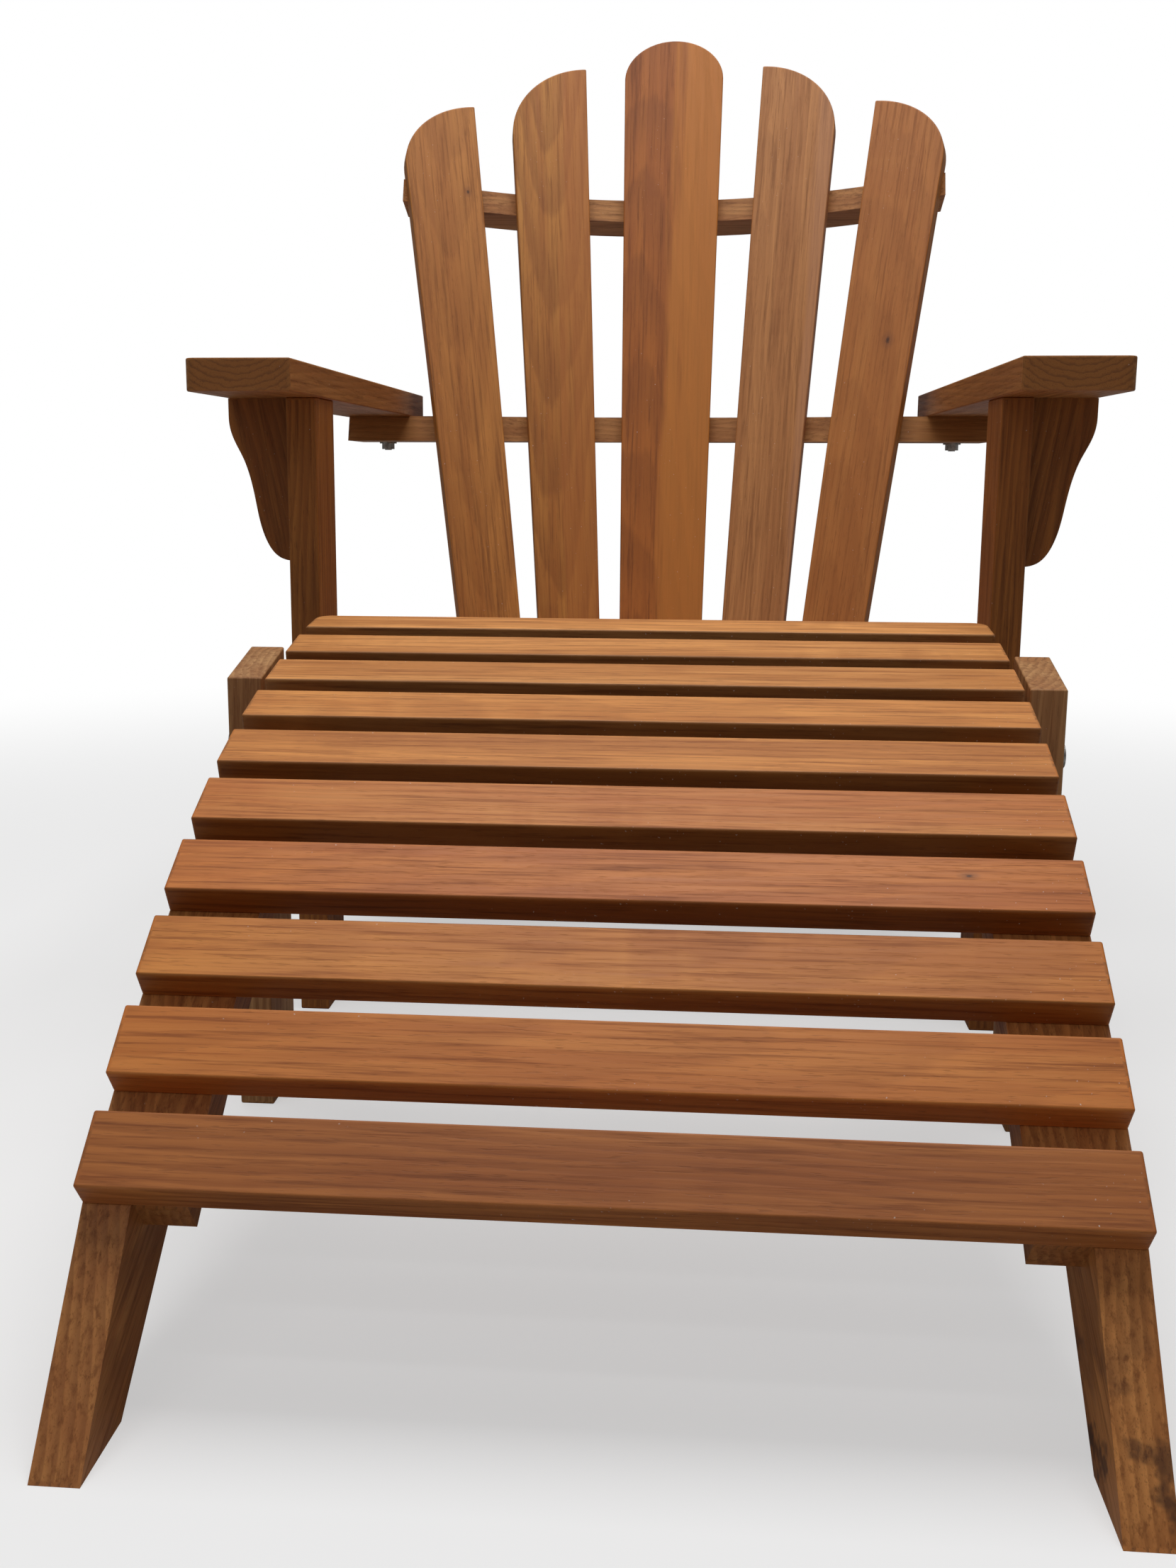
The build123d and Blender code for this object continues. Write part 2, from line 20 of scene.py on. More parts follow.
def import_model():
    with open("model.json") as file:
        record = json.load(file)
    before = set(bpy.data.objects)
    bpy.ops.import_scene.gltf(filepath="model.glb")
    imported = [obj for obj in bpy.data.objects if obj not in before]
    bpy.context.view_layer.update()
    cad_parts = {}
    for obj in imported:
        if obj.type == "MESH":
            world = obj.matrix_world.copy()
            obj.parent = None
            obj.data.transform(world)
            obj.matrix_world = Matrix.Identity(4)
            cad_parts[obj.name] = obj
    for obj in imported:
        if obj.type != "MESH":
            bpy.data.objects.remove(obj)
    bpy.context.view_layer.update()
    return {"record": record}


log = logging.getLogger("adirondack")

Triple = tuple[float, float, float]
Colour = Triple
Socket = bpy.types.NodeSocket
Value = Socket | float | tuple[float, ...]

FLOAT = "NodeSocketFloat"
COLOUR = "NodeSocketColor"
VECTOR = "NodeSocketVector"

# a noise is about 0.5 on average, and nearly all of it lies in the span
NOISE_MIDDLE = 0.5
NOISE_SPAN = (0.3, 0.7)

# the log that each board is cut from, with its heart under the board and slanting away along it
RINGS_A_METRE = 165.0
END_RINGS_A_METRE = 190.0
HEART_DEPTH = 0.055
HEART_SLANT = 0.055
END_HEART_DEPTH = 0.060
RING_DRIFT_REACH = 0.07
RING_WOBBLE_REACH = 0.009
END_BEND_REACH = 0.006
RING_RISE = (0.0, 0.82)  # part of each ring over which it darkens
RING_FALL = (0.86, 1.0)  # part over which it turns pale again
END_RING_RISE = (0.55, 0.95)
PORE_CROWDING = 0.22

# how strongly each layer of the grain covers what is under it
RIBBON_STRENGTH = 2.0
RING_STRENGTH = 0.60
STREAK_STRENGTH = 0.80
HAIR_STRENGTH = 0.25
PORE_STRENGTH = 0.65
END_RING_STRENGTH = 0.55
END_PORE_STRENGTH = 0.5

# roughness and relief of the wood's face
TIMBER_SHINE = 0.28
TIMBER_ROUGHNESS = (0.44, 0.56)
PORE_ROUGHNESS = 0.2
TIMBER_RELIEF = 0.22
TIMBER_RELIEF_DEPTH = 0.0006
STREAK_HEIGHT = 0.5
HAIR_HEIGHT = 0.3
PORE_DEPTH = 0.9
RING_DEPTH = 0.25

# bands along a board's edges, ends and narrow sides; the band of the narrow sides carries painted shade
EDGE_BAND = (0.0005, 0.0032)
EDGE_RAG_REACH = 0.004
END_BAND = (0.0012, 0.0030)
SIDE_BAND = (0.0008, 0.0016)
RUBBED_AMOUNT = 0.30
DUST_AMOUNT = 0.7

# patches, stains and knots
PATCH_RAG_REACH = 1.4  # in half widths of the board
PATCH_SOFTNESS = 0.12
STAIN_HEIGHT = 0.11  # how far up from the floor the water stains reach
KNOT_STRETCH: Triple = (0.6, 1.0, 0.0)  # knots are drawn out along the board
KNOT_HALO = (1.2, 3.4)  # in radii of the knot
KNOT_HEART = (0.7, 1.5)
KNOT_HALO_AMOUNT = 0.45
KNOT_HEART_AMOUNT = 0.85

# random choices for each board: where in the log it starts, and its depth and warmth of colour
START_SPANS = ((-4.0, 4.0), (-0.05, 0.05), (-0.01, 0.03))
DEPTH_SPAN = (0.93, 1.07)
WARMTH_SPAN = (0.97, 1.03)

PORE_TONE: Colour = (0.060, 0.018, 0.006)
END_RING_TONE: Colour = (0.16, 0.062, 0.022)
END_PORE_TONE: Colour = (0.06, 0.022, 0.010)
# colour of the painted shade laid on the narrow sides of the slats
PAINTED_SHADE_TONE: Colour = (0.03, 0.008, 0.001)
DUST_TONE: Colour = (0.85, 0.78, 0.70)
STAIN_TONE: Colour = (0.050, 0.022, 0.014)
KNOT_HALO_TONE: Colour = (0.20, 0.070, 0.026)
KNOT_HEART_TONE: Colour = (0.060, 0.022, 0.012)


class Op(Enum):
    """Arithmetic done by a Math or Vector Math node."""

    PLUS = "ADD"
    MINUS = "SUBTRACT"
    TIMES = "MULTIPLY"
    OVER = "DIVIDE"
    ROOT = "SQRT"
    FRACTION = "FRACT"
    LEAST = "MINIMUM"
    MOST = "MAXIMUM"
    SIZE = "ABSOLUTE"
    LENGTH = "LENGTH"


@dataclass(frozen=True)
class Pattern:
    """A noise, stretched along the grain.

    Attributes:
        along: Waves a metre along the grain.
        across: Waves a metre across it.
        detail: Octaves.
        rough: How strong the finer octaves are.
        bend: Distortion.
        low: Value of the noise from which it starts to show.
        high: Value of the noise from which it shows fully.
    """

    along: float
    across: float
    detail: float = 3.0
    rough: float = 0.55
    bend: float = 0.0
    low: float = 0.0
    high: float = 1.0


RING_DRIFT = Pattern(1.7, 5.0, 2.0)
RING_WOBBLE = Pattern(3.0, 22.0)
BROAD_STREAKS = Pattern(2.0, 48.0, 4.0, 0.62, 0.35, low=0.34, high=0.66)
FINE_STREAKS = Pattern(9.0, 300.0, 4.0, 0.68, 0.15, low=0.46, high=0.70)
HAIR = Pattern(22.0, 900.0, 2.0, 0.6, low=0.52, high=0.78)
RIBBON_BANDS = Pattern(34.0, 9.0, 2.0, 0.5, 0.6)
RIBBON_PLACES = Pattern(3.2, 12.0, 1.0, low=0.42, high=0.68)
PORE_DASHES = Pattern(90.0, 1300.0, 1.0, 0.5, low=0.63, high=0.73)
PORE_CROWDS = Pattern(4.0, 60.0, 2.0)
END_BEND = Pattern(150.0, 150.0, 2.0, 0.5)
END_PORES = Pattern(1200.0, 1200.0, 1.0, low=0.60, high=0.72)
EDGE_RAG = Pattern(60.0, 60.0)
DUST_SPECKS = Pattern(420.0, 420.0, 1.0, low=0.74, high=0.80)
DUST_PLACES = Pattern(5.0, 16.0, low=0.50, high=0.70)
PATCH_RAG = Pattern(1.5, 30.0, 4.0, 0.6)
KNOT_RAG = Pattern(160.0, 160.0, 2.0)
DAMP_PLACES = Pattern(26.0, 26.0, 4.0, 0.6, low=0.50, high=0.60)
DULL_PLACES = Pattern(260.0, 260.0, 4.0, 0.6, low=0.42, high=0.66)


def four(colour: Value) -> Value:
    """Give a plain colour its alpha, and leave a socket as it is.

    Args:
        colour: A tuple of three, or a socket.

    Returns:
        A tuple of four, or the socket.
    """
    if isinstance(colour, tuple):
        return (*colour, 1.0)
    return colour


class NodeSheet:
    """A node tree with short ways to add and join nodes."""

    def __init__(self, tree: bpy.types.NodeTree) -> None:
        """Keep the tree to draw on."""
        self.tree = tree

    def add(self, kind: str, **settings: object) -> bpy.types.Node:
        """Add a node and set its own properties.

        Args:
            kind: The node's type name.
            settings: Properties of the node by name.

        Returns:
            The new node.
        """
        node = self.tree.nodes.new(kind)
        for name, value in settings.items():
            setattr(node, name, value)
        return node

    def join(self, source: Value, target: Socket) -> None:
        """Link an output to an input, or set the input when the source is a plain value.

        Args:
            source: An output socket, a number or a tuple.
            target: The input socket.
        """
        if isinstance(source, Socket):
            self.tree.links.new(source, target)
        else:
            target.default_value = source

    def math(self, op: Op, a: Value, b: Value = 0.0) -> Socket:
        """Add a Math node.

        Args:
            op: What it does.
            a: First value.
            b: Second value.

        Returns:
            The result's socket.
        """
        node = self.add("ShaderNodeMath", operation=op.value)
        self.join(a, node.inputs[0])
        self.join(b, node.inputs[1])
        return node.outputs[0]

    def plus(self, a: Value, b: Value) -> Socket:
        """Add two values."""
        return self.math(Op.PLUS, a, b)

    def minus(self, a: Value, b: Value) -> Socket:
        """Take the second value from the first."""
        return self.math(Op.MINUS, a, b)

    def times(self, a: Value, b: Value) -> Socket:
        """Multiply two values."""
        return self.math(Op.TIMES, a, b)

    def swing(self, noise: Socket, amount: Value) -> Socket:
        """Centre a noise on zero and scale it."""
        return self.times(self.minus(noise, NOISE_MIDDLE), amount)

    def diagonal(self, a: Socket, b: Socket) -> Socket:
        """Length of the diagonal of two lengths."""
        return self.math(Op.ROOT, self.plus(self.times(a, a), self.times(b, b)))

    def vector(self, op: Op, a: Value, b: Value | None = None) -> bpy.types.Node:
        """Add a Vector Math node.

        Args:
            op: What it does.
            a: First vector.
            b: Second vector, if there is one.

        Returns:
            The node.
        """
        node = self.add("ShaderNodeVectorMath", operation=op.value)
        self.join(a, node.inputs[0])
        if b is not None:
            self.join(b, node.inputs[1])
        return node

    def split(self, vector: Value) -> tuple[Socket, ...]:
        """Split a vector into its parts.

        Args:
            vector: The vector.

        Returns:
            The sockets of X, Y and Z.
        """
        node = self.add("ShaderNodeSeparateXYZ")
        self.join(vector, node.inputs[0])
        return tuple(node.outputs)

    def mapped(
        self, value: Value, low: float, high: float, out_low: float = 0.0, out_high: float = 1.0
    ) -> Socket:
        """Map a range of a value to another range, smoothly and clamped.

        Args:
            value: The value to map.
            low: Start of the range read.
            high: End of the range read.
            out_low: Result at the start.
            out_high: Result at the end.

        Returns:
            The result's socket.
        """
        node = self.add("ShaderNodeMapRange", interpolation_type="SMOOTHSTEP")
        self.join(value, node.inputs["Value"])
        node.inputs["From Min"].default_value = low
        node.inputs["From Max"].default_value = high
        node.inputs["To Min"].default_value = out_low
        node.inputs["To Max"].default_value = out_high
        return node.outputs[0]

    def noise(self, vector: Value, pattern: Pattern) -> Socket:
        """Add a noise.

        Args:
            vector: The timber's coordinates, X along the grain.
            pattern: The noise's pattern.

        Returns:
            The noise's value, about 0.5 on average.
        """
        scale = (pattern.along, pattern.across, pattern.across)
        node = self.add("ShaderNodeTexNoise")
        self.join(self.vector(Op.TIMES, vector, scale).outputs[0], node.inputs["Vector"])
        node.inputs["Scale"].default_value = 1.0
        node.inputs["Detail"].default_value = pattern.detail
        node.inputs["Roughness"].default_value = pattern.rough
        node.inputs["Distortion"].default_value = pattern.bend
        return node.outputs["Fac"]

    def shown(self, noise: Socket, pattern: Pattern, amount: float = 1.0) -> Socket:
        """Turn a noise to a mask that comes up between the two values its pattern gives."""
        return self.mapped(noise, pattern.low, pattern.high, 0.0, amount)

    def mask(self, vector: Value, pattern: Pattern, amount: float = 1.0) -> Socket:
        """Add a noise and turn it to a mask, at most as strong as the amount."""
        return self.shown(self.noise(vector, pattern), pattern, amount)

    def blend(self, factor: Value, a: Value, b: Value) -> Socket:
        """Mix two colours.

        Args:
            factor: How much of the second.
            a: First colour.
            b: Second colour.

        Returns:
            The mixed colour's socket.
        """
        node = self.add("ShaderNodeMix", data_type="RGBA", blend_type="MIX", clamp_factor=True)
        self.join(factor, node.inputs[0])
        self.join(four(a), node.inputs[6])
        self.join(four(b), node.inputs[7])
        return node.outputs[2]

    def bump(self, height: Value, strength: float, distance: float) -> Socket:
        """Turn a height into a normal.

        Args:
            height: The height.
            strength: Strength of the relief, from 0 to 1.
            distance: Depth of the relief.

        Returns:
            The normal's socket.
        """
        node = self.add("ShaderNodeBump")
        node.inputs["Strength"].default_value = strength
        node.inputs["Distance"].default_value = distance
        self.join(height, node.inputs["Height"])
        return node.outputs[0]

    def group(self, tree: bpy.types.NodeTree, values: dict[str, Value]) -> bpy.types.Node:
        """Place a node group and feed its inputs.

        Args:
            tree: The group.
            values: Values or sockets by the input's name.

        Returns:
            The group node.
        """
        node = self.add("ShaderNodeGroup", node_tree=tree)
        for name, value in values.items():
            self.join(value, node.inputs[name])
        return node


def new_group(name: str, inputs: dict[str, tuple[str, Value | None]], outputs: dict[str, str]) -> (
    tuple[bpy.types.NodeTree, NodeSheet, bpy.types.Node, bpy.types.Node]
):
    """Start a shader node group with named inputs and outputs.

    Args:
        name: The group's name.
        inputs: Socket kind and starting value of each input, by name.
        outputs: Socket kind of each output, by name.

    Returns:
        The tree, a sheet to draw it on, its input node and its output node.
    """
    tree = bpy.data.node_groups.new(name, "ShaderNodeTree")
    for label, (kind, value) in inputs.items():
        socket = tree.interface.new_socket(label, in_out="INPUT", socket_type=kind)
        if value is not None:
            socket.default_value = value
    for label, kind in outputs.items():
        tree.interface.new_socket(label, in_out="OUTPUT", socket_type=kind)
    sheet = NodeSheet(tree)
    return tree, sheet, sheet.add("NodeGroupInput"), sheet.add("NodeGroupOutput")


def new_material(name: str) -> tuple[bpy.types.Material, NodeSheet, bpy.types.Node]:
    """Start a material.

    Args:
        name: Its name.

    Returns:
        The material, a sheet to draw it on and its Principled shader.
    """
    material = bpy.data.materials.new(name)
    material.use_nodes = True
    return material, NodeSheet(material.node_tree), material.node_tree.nodes["Principled BSDF"]


def put(obj: bpy.types.Object, material: bpy.types.Material) -> None:
    """Put one material in all of an object's slots.

    Args:
        obj: The object.
        material: The material.
    """
    if not obj.material_slots:
        obj.data.materials.append(material)
    for slot in obj.material_slots:
        slot.material = material


def grain_group() -> bpy.types.NodeTree:
    """Build the timber pattern: rings, streaks, pores and ribbon figure.

    Returns:
        The node group.
    """
    tree, sheet, given, result = new_group(
        "timber_grain",
        {
            "Vector": (VECTOR, None),
            "Light": (COLOUR, (0.6, 0.3, 0.12, 1.0)),
            "Middle": (COLOUR, (0.45, 0.2, 0.08, 1.0)),
            "Dark": (COLOUR, (0.25, 0.1, 0.03, 1.0)),
            "Figure": (FLOAT, 0.5),
            "Ribbon": (FLOAT, 0.4),
            "Pores": (FLOAT, 0.5),
        },
        {"Color": COLOUR, "Roughness": FLOAT, "Height": FLOAT},
    )
    vector = given.outputs["Vector"]
    along, across, deep = sheet.split(vector)
    # growth rings round a heart that lies under the board and drifts along it
    across = sheet.plus(across, sheet.swing(sheet.noise(vector, RING_DRIFT), RING_DRIFT_REACH))
    deep = sheet.plus(sheet.plus(deep, HEART_DEPTH), sheet.times(along, HEART_SLANT))
    wobble = sheet.times(sheet.noise(vector, RING_WOBBLE), RING_WOBBLE_REACH)
    radius = sheet.plus(sheet.diagonal(across, deep), wobble)
    ring = sheet.math(Op.FRACTION, sheet.times(radius, RINGS_A_METRE))
    rise = sheet.mapped(ring, *RING_RISE)
    fall = sheet.mapped(ring, *RING_FALL, 1.0, 0.0)
    rings = sheet.times(sheet.times(rise, fall), given.outputs["Figure"])
    # ribbon figure: bands across the grain, strongest in patches
    ribbon = sheet.swing(sheet.noise(vector, RIBBON_BANDS), sheet.mask(vector, RIBBON_PLACES))
    ribbon = sheet.times(ribbon, given.outputs["Ribbon"])
    # pores: short dark dashes in crowds
    crowd = sheet.swing(sheet.noise(vector, PORE_CROWDS), PORE_CROWDING)
    level = sheet.plus(sheet.noise(vector, PORE_DASHES), crowd)
    pores = sheet.times(sheet.shown(level, PORE_DASHES), given.outputs["Pores"])
    # streaks along the grain, then everything laid over them
    fine = sheet.noise(vector, FINE_STREAKS)
    hair = sheet.noise(vector, HAIR)
    light, middle, dark = (given.outputs[name] for name in ("Light", "Middle", "Dark"))
    tone = sheet.plus(sheet.mask(vector, BROAD_STREAKS), sheet.times(ribbon, RIBBON_STRENGTH))
    colour = sheet.blend(tone, middle, light)
    colour = sheet.blend(sheet.times(rings, RING_STRENGTH), colour, dark)
    colour = sheet.blend(sheet.shown(fine, FINE_STREAKS, STREAK_STRENGTH), colour, dark)
    colour = sheet.blend(sheet.shown(hair, HAIR, HAIR_STRENGTH), colour, light)
    colour = sheet.blend(sheet.times(pores, PORE_STRENGTH), colour, PORE_TONE)
    sheet.join(colour, result.inputs["Color"])
    # they also roughen and carve the face
    rough = sheet.mapped(fine, *NOISE_SPAN, *TIMBER_ROUGHNESS)
    sheet.join(sheet.plus(rough, sheet.times(pores, PORE_ROUGHNESS)), result.inputs["Roughness"])
    height = sheet.plus(sheet.times(fine, STREAK_HEIGHT), sheet.times(hair, HAIR_HEIGHT))
    height = sheet.minus(height, sheet.times(pores, PORE_DEPTH))
    height = sheet.minus(height, sheet.times(rings, RING_DEPTH))
    sheet.join(height, result.inputs["Height"])
    return tree


def end_grain_group() -> bpy.types.NodeTree:
    """Build the look of cut ends: rings seen across, with dark pores.

    Returns:
        The node group.
    """
    tree, sheet, given, result = new_group(
        "end_grain",
        {"Vector": (VECTOR, None), "Color": (COLOUR, (0.5, 0.3, 0.15, 1.0))},
        {"Color": COLOUR},
    )
    vector = given.outputs["Vector"]
    _, across, deep = sheet.split(vector)
    bent = sheet.times(sheet.noise(vector, END_BEND), END_BEND_REACH)
    radius = sheet.plus(sheet.diagonal(across, sheet.plus(deep, END_HEART_DEPTH)), bent)
    ring = sheet.math(Op.FRACTION, sheet.times(radius, END_RINGS_A_METRE))
    dark = sheet.mapped(ring, *END_RING_RISE, 0.0, END_RING_STRENGTH)
    colour = sheet.blend(dark, given.outputs["Color"], END_RING_TONE)
    colour = sheet.blend(sheet.mask(vector, END_PORES, END_PORE_STRENGTH), colour, END_PORE_TONE)
    sheet.join(colour, result.inputs["Color"])
    return tree


def wear_and_shade_group() -> bpy.types.NodeTree:
    """Build the masks of a board: its rubbed edges, cut ends and dust, and its narrow sides, where painted
    shade goes.

    Returns:
        The node group.
    """
    tree, sheet, given, result = new_group(
        "board_wear",
        {"Vector": (VECTOR, None), "Half": (VECTOR, (0.3, 0.02, 0.01))},
        {"Edge": FLOAT, "End": FLOAT, "Side": FLOAT, "Dust": FLOAT},
    )
    vector = given.outputs["Vector"]
    size = sheet.vector(Op.SIZE, vector).outputs[0]
    gap = sheet.vector(Op.MINUS, given.outputs["Half"], size).outputs[0]
    along, across, deep = sheet.split(gap)
    # an edge is where two of the three gaps to the board's faces are small
    smallest = sheet.math(Op.LEAST, sheet.math(Op.LEAST, along, across), deep)
    largest = sheet.math(Op.MOST, sheet.math(Op.MOST, along, across), deep)
    total = sheet.plus(sheet.plus(along, across), deep)
    second = sheet.minus(sheet.minus(total, smallest), largest)
    near = sheet.plus(second, sheet.swing(sheet.noise(vector, EDGE_RAG), EDGE_RAG_REACH))
    sheet.join(sheet.mapped(near, *EDGE_BAND, 1.0, 0.0), result.inputs["Edge"])
    sheet.join(sheet.mapped(along, *END_BAND, 1.0, 0.0), result.inputs["End"])
    # mask of the narrow sides, which only carries painted shade
    sheet.join(sheet.mapped(across, *SIDE_BAND, 1.0, 0.0), result.inputs["Side"])
    dust = sheet.times(sheet.mask(vector, DUST_SPECKS), sheet.mask(vector, DUST_PLACES))
    sheet.join(dust, result.inputs["Dust"])
    return tree


@dataclass(frozen=True)
class Timber:
    """Tones and figure of one board.

    Attributes:
        light: Colour of the palest wood between the grain lines.
        middle: Colour of most of the board.
        dark: Colour of the grain lines.
        figure: How strongly the growth rings show, from 0 to 1.
        ribbon: How strongly the cross figure shimmers, from 0 to 1.
        pores: How many of the open pores show, from 0 to 1.
        patch: Colour that one side of the board turns to.
        patch_amount: How much of that colour, from 0 to 1.
        patch_at: Place across the board where it starts, in half widths.
        stain: How strong the water stains are, from 0 to 1.
        painted_shade: How much painted shade darkens the narrow sides, from 0 to 1.
    """

    light: Colour = (0.54, 0.235, 0.082)
    middle: Colour = (0.40, 0.150, 0.045)
    dark: Colour = (0.20, 0.062, 0.016)
    figure: float = 0.5
    ribbon: float = 0.4
    pores: float = 0.5
    patch: Colour = (0.40, 0.150, 0.070)
    patch_amount: float = 0.0
    patch_at: float = 0.0
    stain: float = 0.0
    painted_shade: float = 0.0

    def toned(self, factor: Colour) -> "Timber":
        """Give the same timber with its colours multiplied.

        Args:
            factor: Factor on red, green and blue.

        Returns:
            The new timber.
        """
        light, middle, dark = (
            tuple(part * by for part, by in zip(colour, factor))
            for colour in (self.light, self.middle, self.dark)
        )
        return replace(self, light=light, middle=middle, dark=dark)


@dataclass(frozen=True)
class Knot:
    """A small dark knot on a board.

    Attributes:
        along: Place along the board, in metres from its middle.
        across: Place across the board.
        radius: Size of the dark middle.
    """

    along: float
    across: float
    radius: float


@dataclass
class BoardFrame:
    """Middle, directions and half sizes of one board, found from its mesh.

    Attributes:
        middle: Centre of the board's box in its own directions.
        turn: Rotation whose columns are along, across and through the board.
        half: Half sizes along those directions.
    """

    middle: Vector
    turn: Matrix
    half: Vector

    @classmethod
    def of(cls, obj: bpy.types.Object) -> "BoardFrame":
        """Find the frame of a node's mesh from its second moments of area.

        Args:
            obj: The node's object.

        Returns:
            The board's frame.
        """
        mesh = obj.data
        mesh.calc_loop_triangles()
        points = np.empty(len(mesh.vertices) * 3)
        mesh.vertices.foreach_get("co", points)
        points = points.reshape(-1, 3)
        triangles = np.empty(len(mesh.loop_triangles) * 3, dtype=np.int32)
        mesh.loop_triangles.foreach_get("vertices", triangles)
        corners = points[triangles.reshape(-1, 3)]
        normals = np.cross(corners[:, 1] - corners[:, 0], corners[:, 2] - corners[:, 0])
        areas = np.linalg.norm(normals, axis=1) / 2
        centre = (corners.mean(axis=1) * areas[:, None]).sum(axis=0) / areas.sum()
        local = corners - centre
        sums = local.sum(axis=1)
        moments = np.einsum("t,tki,tkj->ij", areas, local, local)
        moments += np.einsum("t,ti,tj->ij", areas, sums, sums)
        _, axes = np.linalg.eigh(moments)
        axes = axes[:, ::-1]  # longest first
        # each axis points up its own main direction, and the three are right-handed
        for column in range(3):
            lead = np.argmax(np.abs(axes[:, column]))
            axes[:, column] *= np.sign(axes[lead, column])
        if np.linalg.det(axes) < 0:
            axes[:, 2] *= -1
        inside = points @ axes
        low, high = inside.min(axis=0), inside.max(axis=0)
        middle = axes @ ((low + high) / 2)
        return cls(Vector(middle), Matrix(axes.tolist()), Vector((high - low) / 2))

    def mapping(self) -> tuple[Vector, Euler]:
        """Turn and shift that take object coordinates to the board's own.

        Returns:
            Location and rotation for a Mapping node of kind POINT.
        """
        back = self.turn.transposed()
        return -(back @ self.middle), back.to_euler("XYZ")


@dataclass
class TimberShop:
    """Dresses wooden nodes, each with timber of its own.

    Attributes:
        seed: Start of the random choices.
        grain: The grain group.
        ends: The end grain group.
        wear: The group of wear masks, with the mask of the narrow sides for painted shade.
    """

    seed: int = 7
    grain: bpy.types.NodeTree = field(default_factory=grain_group)
    ends: bpy.types.NodeTree = field(default_factory=end_grain_group)
    wear: bpy.types.NodeTree = field(default_factory=wear_and_shade_group)

    def dress(self, node: str, timber: Timber, knots: tuple[Knot, ...] = ()) -> None:
        """Give a wooden node its material.

        Args:
            node: The node's name.
            timber: Its tones and figure.
            knots: Knots on its face.
        """
        obj = bpy.data.objects[node]
        board = BoardFrame.of(obj)
        choice = random.Random(f"{self.seed}-{node}")
        material, sheet, shader = new_material(f"timber_{node}")
        place = sheet.add("ShaderNodeMapping", vector_type="POINT")
        place.inputs["Location"].default_value, place.inputs["Rotation"].default_value = board.mapping()
        from_object = sheet.add("ShaderNodeTexCoord").outputs["Object"]
        sheet.join(from_object, place.inputs["Vector"])
        own = place.outputs[0]
        grain = self.figured(sheet, own, timber, choice)
        colour = grain.outputs["Color"]
        if timber.patch_amount > 0.0:
            colour = self.patched(sheet, own, board, timber, colour)
        for knot in knots:
            colour = self.knotted(sheet, own, knot, colour)
        colour = self.worn(sheet, own, board, timber, self.varied(timber.middle, choice), colour)
        if timber.stain > 0.0:
            colour = self.stained(sheet, own, from_object, timber, colour)
        sheet.join(colour, shader.inputs["Base Color"])
        sheet.join(grain.outputs["Roughness"], shader.inputs["Roughness"])
        bump = sheet.bump(grain.outputs["Height"], TIMBER_RELIEF, TIMBER_RELIEF_DEPTH)
        sheet.join(bump, shader.inputs["Normal"])
        shader.inputs["Specular IOR Level"].default_value = TIMBER_SHINE
        put(obj, material)
        log.info("%s dressed in timber", node)

    def figured(
        self, sheet: NodeSheet, own: Socket, timber: Timber, choice: random.Random
    ) -> bpy.types.Node:
        """Place the grain, starting somewhere else in the log for each board.

        Args:
            sheet: The material's sheet.
            own: Coordinates of the board.
            timber: Its tones and figure.
            choice: Source of the random choices.

        Returns:
            The grain's node.
        """
        start = tuple(choice.uniform(*span) for span in START_SPANS)
        return sheet.group(
            self.grain,
            {
                "Vector": sheet.vector(Op.PLUS, own, start).outputs[0],
                "Light": four(self.varied(timber.light, choice)),
                "Middle": four(self.varied(timber.middle, choice)),
                "Dark": four(self.varied(timber.dark, choice)),
                "Figure": timber.figure,
                "Ribbon": timber.ribbon,
                "Pores": timber.pores,
            },
        )

    def worn(
        self,
        sheet: NodeSheet,
        own: Socket,
        board: BoardFrame,
        timber: Timber,
        end_tone: Colour,
        colour: Socket,
    ) -> Socket:
        """Add the end grain, painted shade on the narrow sides, rubbed edges and dust.

        Args:
            sheet: The material's sheet.
            own: Coordinates of the board.
            board: The board's frame.
            timber: Its tones.
            end_tone: Colour of the cut ends.
            colour: The colour so far.

        Returns:
            The new colour's socket.
        """
        wear = sheet.group(self.wear, {"Vector": own, "Half": board.half})
        ends = sheet.group(self.ends, {"Vector": own, "Color": four(end_tone)})
        colour = sheet.blend(wear.outputs["End"], colour, ends.outputs["Color"])
        # painted shade: the narrow sides are darkened towards near black, as if in shadow
        if timber.painted_shade > 0.0:
            colour = sheet.blend(sheet.times(wear.outputs["Side"], timber.painted_shade), colour, PAINTED_SHADE_TONE)
        rubbed = sheet.times(wear.outputs["Edge"], RUBBED_AMOUNT * (1.0 - timber.painted_shade))
        colour = sheet.blend(rubbed, colour, timber.light)
        return sheet.blend(sheet.times(wear.outputs["Dust"], DUST_AMOUNT), colour, DUST_TONE)

    @staticmethod
    def varied(colour: Colour, choice: random.Random) -> Colour:
        """Shift a colour a little in depth and warmth.

        Args:
            colour: The colour to start from.
            choice: Source of the random choice.

        Returns:
            The shifted colour.
        """
        depth = choice.uniform(*DEPTH_SPAN)
        warmth = choice.uniform(*WARMTH_SPAN)
        return (colour[0] * depth * warmth, colour[1] * depth, colour[2] * depth / warmth)

    @staticmethod
    def patched(sheet: NodeSheet, own: Socket, board: BoardFrame, timber: Timber, colour: Socket) -> Socket:
        """Turn one side of a board to another tone, with a ragged line between.

        Args:
            sheet: The material's sheet.
            own: Coordinates of the board.
            board: The board's frame.
            timber: Its tones.
            colour: The colour so far.

        Returns:
            The new colour's socket.
        """
        side = sheet.math(Op.OVER, sheet.split(own)[1], board.half[1])
        side = sheet.plus(side, sheet.swing(sheet.noise(own, PATCH_RAG), PATCH_RAG_REACH))
        low, high = timber.patch_at - PATCH_SOFTNESS, timber.patch_at + PATCH_SOFTNESS
        mask = sheet.mapped(side, low, high, 0.0, timber.patch_amount)
        return sheet.blend(mask, colour, timber.patch)

